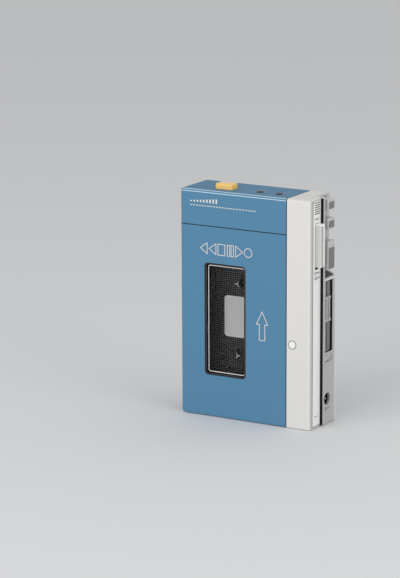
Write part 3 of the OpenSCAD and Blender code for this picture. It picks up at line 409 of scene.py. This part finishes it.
BOARD = finish("green_board", srgb(38, 96, 66), 0.4, 0.0, srgb(90, 140, 110), 0.2, 0.0001, 0.1,
               700, 0.05)
LENS = finish("milky_lens", srgb(236, 236, 232), 0.2, 0.0, srgb(250, 250, 250), 0.2, 0.0002, 0.02,
              800, 0.01, coat=0.5)
DIODE = finish("red_diode", srgb(170, 40, 34), 0.2, 0.0, srgb(220, 90, 80), 0.2, 0.0001, 0.05,
               800, 0.02)
PRINT = finish("pale_print", srgb(222, 216, 205), 0.5, 0.0, None, 0.0, 0.0001, 0.03, 3000, 0.05)
PRINT_DARK = finish("grey_print", srgb(72, 72, 74), 0.5, 0.0, None, 0.0, 0.0001, 0.03, 3000, 0.05)
PANE_EDGE_HIGHLIGHT = finish("pane_edge_painted_highlight", srgb(244, 240, 236), 0.35, 0.0, None, 0.0, 0.0001, 0.03, 3000, 0.03)
SPINDLE_TIP_HIGHLIGHT = finish("spindle_tip_painted_highlight", srgb(230, 228, 226), 0.4, 0.0, None, 0.0, 0.0001, 0.03, 3000, 0.03)
GRID = finish("pale_grid_dots", srgb(104, 101, 103), 0.5, 0.0, None, 0.0, 0.0001, 0.06, 3000, 0.05)


def clear_pane():
    """Thin clear acrylic: transmits, with a faint grain of fine scratches in its roughness."""
    mat = bpy.data.materials.new("clear_acrylic")
    mat.use_nodes = True
    tree = mat.node_tree
    shader = tree.nodes["Principled BSDF"]
    fine = tree.nodes.new("ShaderNodeGroup")
    fine.node_tree = FINE_SURFACE
    socket(fine, "Color", (0.96, 0.96, 0.96, 1.0))
    socket(fine, "Drift", 0.02)
    socket(fine, "Grain Size", 700.0)
    socket(fine, "Roughness", 0.03)
    socket(fine, "Roughness Spread", 0.03)
    tree.links.new(fine.outputs["Color"], shader.inputs["Base Color"])
    tree.links.new(fine.outputs["Roughness"], shader.inputs["Roughness"])
    socket(shader, "Metallic", 0.0)
    socket(shader, "Transmission Weight", 1.0)
    socket(shader, "IOR", 1.2)
    return mat


PANE = clear_pane()

# ---------------------------------------------------------------- mesh helpers


def add_piece(name, shape, body, material, smooth=False):
    """Object at the origin from a shape: an (n, 3) array in millimetres and an (m, 4) array of quads."""
    points, quads = shape
    mesh = bpy.data.meshes.new(name)
    mesh.from_pydata((points * MM).tolist(), [], quads.tolist())
    if smooth:
        mesh.polygons.foreach_set("use_smooth", np.ones(len(quads), bool))
    mesh.materials.append(material)
    piece = bpy.data.objects.new(name, mesh)
    scene.collection.objects.link(piece)
    if body:
        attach(piece, body)
    return piece


def joined(shapes):
    """Several shapes as one: the points follow each other and each shape's quads are shifted to match."""
    starts = np.cumsum([0] + [len(points) for points, _ in shapes[:-1]])
    points = np.concatenate([points for points, _ in shapes])
    return points, np.concatenate([quads + start for (_, quads), start in zip(shapes, starts)])


def grid_quads(rows, columns):
    """Quads of a grid whose points are stored row by row."""
    index = np.arange(rows * columns).reshape(rows, columns)
    ring = [index[:-1, :-1], index[1:, :-1], index[1:, 1:], index[:-1, 1:]]
    return np.stack(ring, axis=-1).reshape(-1, 4)


def rounded_block(low, high, radius, steps=4):
    """Box with every edge rounded. Each side of a cube is a grid of directions n, evenly spaced by
    angle; a point is c + s (half - radius) + radius n / |n|, where s holds the signs of the corner."""
    low, high = np.asarray(low, float), np.asarray(high, float)
    half, centre = (high - low) / 2, (high + low) / 2
    radius = min(radius, half.min() * 0.98)
    rise = np.tan(np.linspace(0, math.pi / 4, steps + 1))
    side = np.concatenate([-rise[::-1], rise])
    sign = np.repeat([-1.0, 1.0], steps + 1)
    count = len(side)
    u, v = np.meshgrid(side, side, indexing="ij")
    su, sv = np.meshgrid(sign, sign, indexing="ij")
    points, quads = [], []
    for axis in range(3):
        order = np.argsort([axis, (axis + 1) % 3, (axis + 2) % 3])
        for end in (-1.0, 1.0):
            direction = np.stack([np.full_like(u, end), u, v], axis=-1)[..., order]
            corner = np.stack([np.full_like(u, end), su, sv], axis=-1)[..., order]
            direction /= np.linalg.norm(direction, axis=-1, keepdims=True)
            surface = centre + corner * (half - radius) + radius * direction
            ring = grid_quads(count, count) + len(points) * count * count
            quads.append(ring if end > 0 else ring[:, ::-1])
            points.append(surface.reshape(-1, 3))
    unique, back = np.unique(np.round(np.concatenate(points), 5), axis=0, return_inverse=True)
    return unique, back.reshape(-1)[np.concatenate(quads)]


def ring_solid(outline, width, height):
    """Raised closed ring along an outline in (u, v). Each corner moves half the width to both sides
    along the mitre of its two edges, m = (n1 + n2) / (1 + n1 . n2), and h runs from 0 to height."""
    outline = np.asarray(outline, float)
    ahead = np.roll(outline, -1, axis=0) - outline
    ahead /= np.linalg.norm(ahead, axis=1, keepdims=True)
    normal = np.column_stack([ahead[:, 1], -ahead[:, 0]])
    before = np.roll(normal, 1, axis=0)
    mitre = (normal + before) / (1 + np.sum(normal * before, axis=1, keepdims=True)) * width / 2
    count = len(outline)
    flat = np.tile(np.concatenate([outline + mitre, outline - mitre]), (2, 1))
    points = np.column_stack([flat, np.repeat([0.0, height], 2 * count)])
    here = np.arange(count)
    after = np.roll(here, -1)
    top = np.column_stack([here + 2 * count, after + 2 * count, after + 3 * count, here + 3 * count])
    base = np.column_stack([here, here + count, after + count, after])
    outside = np.column_stack([here, after, after + 2 * count, here + 2 * count])
    inside = np.column_stack([here + count, here + 3 * count, after + 3 * count, after + count])
    return points, np.concatenate([top, base, outside, inside])


def bar_solid(u0, u1, v0, v1, height):
    """Raised rectangle in (u, v, h)."""
    corners = np.array([[u0, v0], [u1, v0], [u1, v1], [u0, v1]], float)
    points = np.column_stack([np.tile(corners, (2, 1)), np.repeat([0.0, height], 4)])
    here = np.arange(4)
    after = np.roll(here, -1)
    walls = np.column_stack([here, after, after + 4, here + 4])
    return points, np.concatenate([[[4, 5, 6, 7], [3, 2, 1, 0]], walls])


def leaf(low, high, axis, cuts=16):
    """Flat bar cut across its length, so that it can bend: a ring of four corners at each station."""
    low, high = np.asarray(low, float), np.asarray(high, float)
    across, aside = (axis + 1) % 3, (axis + 2) % 3
    stations = np.linspace(low[axis], high[axis], cuts + 1)
    points = np.empty((cuts + 1, 4, 3))
    points[..., axis] = stations[:, None]
    points[..., across] = np.array([low, high, high, low])[:, across]
    points[..., aside] = np.array([low, low, high, high])[:, aside]
    here = np.arange(4 * cuts).reshape(cuts, 4)
    after = np.roll(here, -1, axis=1)
    walls = np.stack([here, after, after + 4, here + 4], axis=-1).reshape(-1, 4)
    caps = [[3, 2, 1, 0], 4 * cuts + np.arange(4)]
    return points.reshape(-1, 3), np.concatenate([walls, caps])


def arc(u, v, radius, start, end, count=7):
    """Points of a circular arc about (u, v), angles in degrees."""
    angle = np.radians(np.linspace(start, end, count))
    return np.column_stack([u + radius * np.cos(angle), v + radius * np.sin(angle)])


def circle(u, v, radius, count=36):
    return arc(u, v, radius, 0, 360, count + 1)[:-1]


def rounded_outline(u0, v0, u1, v1, radius):
    """Rectangle with a quarter circle at each corner, counter-clockwise."""
    return np.concatenate([
        arc(u1 - radius, v0 + radius, radius, -90, 0), arc(u1 - radius, v1 - radius, radius, 0, 90),
        arc(u0 + radius, v1 - radius, radius, 90, 180), arc(u0 + radius, v0 + radius, radius, 180, 270)])


def on_front(shape, face_y):
    """Lays (u, v, h) on a face that looks along -Y: X = u, Z = v and h comes forward."""
    points, quads = shape
    return np.column_stack([points[:, 0], face_y - points[:, 2], points[:, 1]]), quads


def on_side(shape, face_x):
    """Lays (u, v, h) on a face that looks along +X: Y = u, Z = v and h comes outward."""
    points, quads = shape
    return np.column_stack([face_x + points[:, 2], points[:, 0], points[:, 1]]), quads


# ---------------------------------------------------------------- finishes of the CAD nodes

NODE_FINISH = {
    BLUE: "rear_case top_cover door battery_lid",
    SILVER: "silver_shell",
    PLATE: "side_plate",
    COLUMN: "control_block",
    KEY_LIGHT: "stop_key",
    KEY_GREY: "play_key forward_key rewind_key",
    KNOB: "volume_knob_left volume_knob_right",
    AMBER: "talk_button",
    GREY_PLATE: "deck_plate",
    # trim_strip is a black strip standing in for the shade on the step between side plate and control block
    BLACK_DECK_AND_SHADE_STRIP: "deck_floor trim_strip power_jack",
    SPINDLE: "supply_spindle takeup_spindle",
    DARK_METAL: "jack_rings",
    BLACK: "battery_box talk_switch microphone door_latch door_catch",
    GLOSS_BLACK: "window_frame phone_jack_left phone_jack_right",
    STEEL: "chassis_plate motor motor_mount flywheel_bracket head_slide cassette_springs slide_resistors",
    BRIGHT: "hinge_pin door_spring battery_contacts case_screws key_springs stop_spring "
            "power_pin guide_pins capstan playback_head",
    BRASS: "spindle_bushes flywheel capstan_bearing motor_pulley",
    IVORY: "supply_disc takeup_disc idler_wheel",
    RUBBER: "idler_tyre drive_belt pinch_roller",
    BOARD: "circuit_board",
    LENS: "lamp_lens",
    DIODE: "lamp_diode",
    PANE: "door_window",
}
for node_finish, names in NODE_FINISH.items():
    for name in names.split():
        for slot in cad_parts[name].material_slots:
            slot.material = node_finish

# ---------------------------------------------------------------- moulded keys, button and knobs


def moulded_button():
    """Talk button: soft-edged block that replaces the bevelled solid, with its flange under the cover."""
    flange_w, flange_t = 1.0, 1.0
    low, high = box_mm("talk_button")
    inset = np.array([flange_w, flange_w, 0.0])
    body = rounded_block(low + inset, high - inset, 0.9, 6)
    flange = rounded_block(low, np.array([high[0], high[1], low[2] + flange_t]), 0.3, 2)
    cap = add_piece("talk_button_cap", joined([body, flange]), "talk_button", AMBER, True)
    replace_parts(cap, "talk_button")


def moulded_key(key, pad_low, pad_high):
    """Side key: soft-edged light cap with a darker pad let into its outer face.
    pad_low and pad_high are the pad's margins (front to back, up) from the cap's corners."""
    edge, pad_depth, pad_rise, pad_edge = 0.7, 0.3, 0.06, 0.05
    low, high = box_mm(key)
    cap = add_piece(key + "_cap", rounded_block(low, high, edge, 6), key, KEY_GREY, True)
    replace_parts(cap, key)
    pad_start = np.array([high[0] - pad_depth, low[1] + pad_low[0], low[2] + pad_low[1]])
    pad_end = np.array([high[0] + pad_rise, high[1] - pad_high[0], high[2] - pad_high[1]])
    add_piece(key + "_pad", rounded_block(pad_start, pad_end, pad_edge, 2), key, KEY_DARK)


def bending_leaf(name, low, high, axis, start, end):
    """Spring leaf from the case to the key, baked in place at rest; it does not follow the key."""
    middle = (low + high) / 2
    root, tip = middle.copy(), middle.copy()
    root[axis], tip[axis] = start, end
    piece = add_piece(name, leaf(low, high, axis), None, BRIGHT)
    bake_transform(piece)


def key_leaves():
    """Leaf springs behind the three keys, on one bar, and the leaf behind the stop key, on its foot."""
    bar_t, bar_gap, leaf_t, leaf_inset = 0.4, 0.35, 0.3, 1
    low, high = box_mm("key_springs")
    bar_back = box_mm("play_key")[0][1] - bar_gap
    bar = leaf((high[0] - bar_t, low[1], low[2]), (high[0], bar_back, high[2]), 2)
    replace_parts(add_piece("key_spring_bar", bar, "case", BRIGHT), "key_springs")
    for node in ("play_key", "forward_key", "rewind_key"):
        key_low, key_high = box_mm(node)
        bending_leaf(node + "_leaf", np.array([low[0], low[1], key_low[2] + leaf_inset]),
                     np.array([low[0] + leaf_t, high[1], key_high[2] - leaf_inset]), 1,
                     key_low[1] - 0.9, key_low[1] - 0.1)
    foot_h, stop_leaf_t = 3, 0.35
    low, high = box_mm("stop_spring")
    foot = leaf(low, (high[0], high[1], low[2] + foot_h), 2)
    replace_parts(add_piece("stop_spring_foot", foot, "case", BRIGHT), "stop_spring")
    bending_leaf("stop_spring_leaf", low + (0, 0, foot_h - 0.5),
                 np.array([low[0] + stop_leaf_t, high[1], high[2]]), 2,
                 low[2] + foot_h + 0.2, low[2] + foot_h + 2.2)


moulded_button()
key_leaves()
moulded_key("play_key", (0.5, 0.8), (0.9, 3.9))
for key_name in ("forward_key", "rewind_key"):
    moulded_key(key_name, (0.5, 0.8), (1.4, 1.5))

# ---------------------------------------------------------------- deck behind the window


def dot_grid():
    """Small raised pyramids on the compartment floor in a square grid, left out under the plate and
    round the spindles: p = (i pitch, j pitch), kept where it lies clear of both."""
    pitch, base, top, rise, sunk, gap = 1.2, 0.29, 0.21, 0.1, 0.05, 0.4
    floor_y = box_mm("deck_plate")[1][1]
    plate_low, plate_high = box_mm("deck_plate")
    window_low, window_high = box_mm("window_frame")
    margin = 4.0
    u, v = np.meshgrid(np.arange(window_low[0] - 6 * pitch, window_high[0] + margin, pitch),
                       np.arange(window_low[2] - margin, window_high[2] + margin, pitch), indexing="ij")
    u, v = u.ravel(), v.ravel()
    clear = ((u < plate_low[0] - gap) | (u > plate_high[0] + gap)
             | (v < plate_low[2] - gap) | (v > plate_high[2] + gap))
    for node in ("supply_spindle", "takeup_spindle"):
        spindle_low, spindle_high = box_mm(node)
        middle = (spindle_low + spindle_high) / 2
        reach = (spindle_high[0] - spindle_low[0]) / 2 + 0.3
        clear &= np.hypot(u - middle[0], v - middle[2]) > reach
    u, v = u[clear], v[clear]
    square = np.array([[-1, -1], [1, -1], [1, 1], [-1, 1]], float)
    corners = np.concatenate([square * base, square * top])
    height = np.repeat([-sunk, rise], 4)
    points = np.stack([u[:, None] + corners[:, 0], np.tile(floor_y - height, (len(u), 1)),
                       v[:, None] + corners[:, 1]], axis=-1).reshape(-1, 3)
    here = np.arange(4)
    after = np.roll(here, -1)
    one = np.concatenate([[[4, 5, 6, 7], [3, 2, 1, 0]], np.column_stack([here, after, after + 4, here + 4])])
    quads = (one[None, :, :] + 8 * np.arange(len(u))[:, None, None]).reshape(-1, 4)
    add_piece("floor_dot_grid", (points, quads), "case", GRID)


def spindle_tip(node, body, turn):
    """Three pale strokes on the tips of a spindle's fins, 120 degrees apart, turned by turn degrees: a
    painted highlight where the fin edges catch the light.
    """
    low, high = box_mm(node)
    centre, start, reach, half, rise = (low + high) / 2, 0.15, 1.7, 0.17, 0.06
    strokes = []
    for angle in np.radians([turn, turn + 120, turn + 240]):
        flat, quads = bar_solid(start, reach, -half, half, rise)
        ahead = np.array([math.cos(angle), math.sin(angle)])
        aside = np.array([-ahead[1], ahead[0]])
        spun = flat[:, :1] * ahead + flat[:, 1:2] * aside + centre[[0, 2]]
        strokes.append(on_front((np.column_stack([spun, flat[:, 2]]), quads), low[1]))
    add_piece(node + "_tip", joined(strokes), body, SPINDLE_TIP_HIGHLIGHT)


def window_edge_highlight():
    """Raised pale line round the clear pane, just inside the black frame: a painted highlight for the light
    that the pane's edge catches.
    """
    low, high = box_mm("window_frame")
    inset, corner, width, rise = 1.75, 1.1, 0.42, 0.08
    outline = rounded_outline(low[0] + inset, low[2] + inset, high[0] - inset, high[2] - inset, corner)
    pane_y = box_mm("door_window")[0][1]
    line = on_front(ring_solid(outline, width, rise), pane_y)
    add_piece("window_edge_highlight", line, "door", PANE_EDGE_HIGHLIGHT)


dot_grid()
spindle_tip("takeup_spindle", "takeup_reel", 60.0)
spindle_tip("supply_spindle", "supply_reel", 0.0)
window_edge_highlight()

# ---------------------------------------------------------------- printed marks

INK = 0.03    # thickness of the printed marks
LINE = 0.4    # width of their outlines
FRONT = box_mm("door")[0][1]
LEFT = COVER_LOW[0]


def at(u, v):
    """Place on the front face, measured from the case's left side and its base."""
    return u + LEFT, v


def print_on_door(name, shapes):
    add_piece(name, joined([on_front(shape, FRONT) for shape in shapes]), "door", PRINT)


def insert_arrow():
    """Outlined arrow that shows which way the cassette goes in."""
    half_shaft, half_head, low, neck, tip, middle = 1.8, 3.65, 49.4, 58.7, 66.2, 53.85
    outline = [(middle - half_shaft, low), (middle + half_shaft, low), (middle + half_shaft, neck),
               (middle + half_head, neck), (middle, tip), (middle - half_head, neck),
               (middle - half_shaft, neck)]
    print_on_door("insert_arrow", [ring_solid([at(u, v) for u, v in outline], LINE, INK)])


def transport_marks():
    """Row of outlined marks over the window: two triangles that point left, a square, two bars, a
    triangle that points right, and a ring."""
    low, high, width, bar_w = 96.4, 102.8, 4.5, 1.6
    middle = (low + high) / 2

    def triangle(u0, u1):
        corners = [(u0, low), (u1, middle), (u0, high)]
        return corners if u1 > u0 else corners[::-1]

    starts = 13.2 + 5.85 * np.arange(6)
    outlines = [triangle(starts[0] + width, starts[0]), triangle(starts[1] + width, starts[1]),
                [(starts[2], low), (starts[2] + width, low), (starts[2] + width, high), (starts[2], high)],
                triangle(starts[4], starts[4] + width)]
    for bar in (0.3, 2.8):
        outlines.append([(starts[3] + bar, low), (starts[3] + bar + bar_w, low),
                         (starts[3] + bar + bar_w, high), (starts[3] + bar, high)])
    shapes = [ring_solid([at(u, v) for u, v in outline], LINE, INK) for outline in outlines]
    shapes.append(ring_solid(circle(*at(starts[5] + width / 2, middle), width / 2 + 0.3), LINE, INK))
    print_on_door("transport_marks", shapes)


def cover_marks():
    """Row of rising bars and a row of short dashes on the cover, where a name would stand."""
    start, base, pitch, width = LEFT + 6.6, 126.2, 2.1, 1.0
    shapes = [bar_solid(start + pitch * k, start + pitch * k + width, base, base + 0.7 + 0.23 * k, INK)
              for k in range(9)]
    dash, dash_pitch, dash_low, dash_high = 1.2, 1.9, 124.0, 124.5
    shapes += [bar_solid(start + dash_pitch * k, start + dash + dash_pitch * k, dash_low, dash_high, INK)
               for k in range(23)]
    marks = joined([on_front(shape, FRONT) for shape in shapes])
    add_piece("cover_marks", marks, "case", PRINT)


def dashes(start, width, pitch, count, low, high):
    """Row of short bars from start on, each as wide as width and a pitch after the one before."""
    return [bar_solid(start + pitch * k, start + pitch * k + width, low, high, INK) for k in range(count)]


def side_marks():
    """Small marks beside the controls: dots by the microphone, a square and a tray under the stop key,
    a wedge and ticks under the volume slot and a plug mark under the power socket."""
    front = PLATE_LOW[1]
    dots = [ring_solid(circle(front + 2.9 + 1.4 * k, 121.9, 0.4, 12), 0.32, INK) for k in range(3)]
    corners = [(front + 2.0, 90.0), (front + 3.8, 90.0), (front + 3.8, 91.4), (front + 2.0, 91.4)]
    square = [ring_solid(corners, 0.34, INK)] + dashes(front + 4.6, 0.7, 1.1, 3, 90.2, 91.2)
    roof = ring_solid([(front + 2.1, 87.9), (front + 4.9, 87.9), (front + 3.5, 89.0)], 0.3, INK)
    tray = [bar_solid(front + 1.9, front + 5.1, 87.0, 87.4, INK), roof]
    tray += dashes(front + 5.7, 0.7, 1.1, 2, 87.4, 88.4)
    foot = dashes(front + 2.2, 0.5, 0.9, 5, 6.3, 6.9)
    plate = joined([on_side(shape, PLATE_HIGH[0]) for shape in dots + square + tray + foot])
    add_piece("plate_marks", plate, "case", PRINT_DARK)
    front = COLUMN_LOW[1]
    wedge = [ring_solid([(front + 3.0, 37.2), (front + 10.8, 37.2), (front + 10.8, 39.5)], LINE, INK)]
    ticks = [bar_solid(front + u, front + u + 0.6, 40.3, 41.4, INK) for u in (3.9, 9.6)]
    plug = [ring_solid(circle(front + 3.6, 9.3, 0.8, 20), 0.36, INK)]
    plug += dashes(front + 5.0, 0.8, 1.3, 3, 9.0, 9.6)
    column = joined([on_side(shape, COLUMN_HIGH[0]) for shape in wedge + ticks + plug])
    add_piece("column_marks", column, "case", PRINT_DARK)


def lamp_ring():
    """Thin dark bezel round the lamp's lens."""
    low, high = box_mm("lamp_lens")
    middle = (low + high) / 2
    radius, width, rise = 2.42, 0.3, 0.06
    ring = ring_solid(circle(middle[0], middle[2], radius, 40), width, rise)
    add_piece("lamp_ring", on_front(ring, FRONT), "case", BLACK)


side_marks()
lamp_ring()
insert_arrow()
transport_marks()
cover_marks()

# ---------------------------------------------------------------- stage


def pale_backdrop():
    """World: even light on the object, a pale grey to the camera and in mirrors and glass."""
    world = bpy.data.worlds.new("studio")
    world.use_nodes = True
    tree = world.node_tree
    path = tree.nodes.new("ShaderNodeLightPath")
    through = math_node(tree, "MAXIMUM", path.outputs["Is Camera Ray"], path.outputs["Is Transmission Ray"])
    seen = math_node(tree, "MAXIMUM", through, path.outputs["Is Glossy Ray"])
    lit = tree.nodes["Background"]
    socket(lit, "Color", (1.0, 1.0, 1.0, 1.0))
    socket(lit, "Strength", 0.62)
    pale = tree.nodes.new("ShaderNodeBackground")
    socket(pale, "Color", (0.86, 0.87, 0.88, 1.0))
    socket(pale, "Strength", 1.0)
    choice = tree.nodes.new("ShaderNodeMixShader")
    tree.links.new(seen, choice.inputs[0])
    tree.links.new(lit.outputs[0], choice.inputs[1])
    tree.links.new(pale.outputs[0], choice.inputs[2])
    tree.links.new(choice.outputs[0], tree.nodes["World Output"].inputs["Surface"])
    scene.world = world


def pale_floor():
    """Plain floor of one large quad just under the object."""
    size, level = 14.0, cad_box[0][2] - 0.0002
    mesh = bpy.data.meshes.new("studio_floor")
    mesh.from_pydata([(-size, -size, level), (size, -size, level), (size, size, level), (-size, size, level)],
                     [], [(0, 1, 2, 3)])
    paint = finish("studio_floor_paint", (0.72, 0.73, 0.74), 0.85, 0.0, None, 0.0, 0.001, 0.01, 6, 0.0)
    mesh.materials.append(paint)
    floor = bpy.data.objects.new("studio_floor", mesh)
    scene.collection.objects.link(floor)


pale_backdrop()
pale_floor()
add_lamp("key_lamp", (-0.35, -1.3, 0.5), (0.0, 0.0, 0.07), 1.1, 9.0)
add_lamp("side_lamp", (1.25, -0.3, 0.35), (0.0, 0.0, 0.07), 0.9, 7.0)
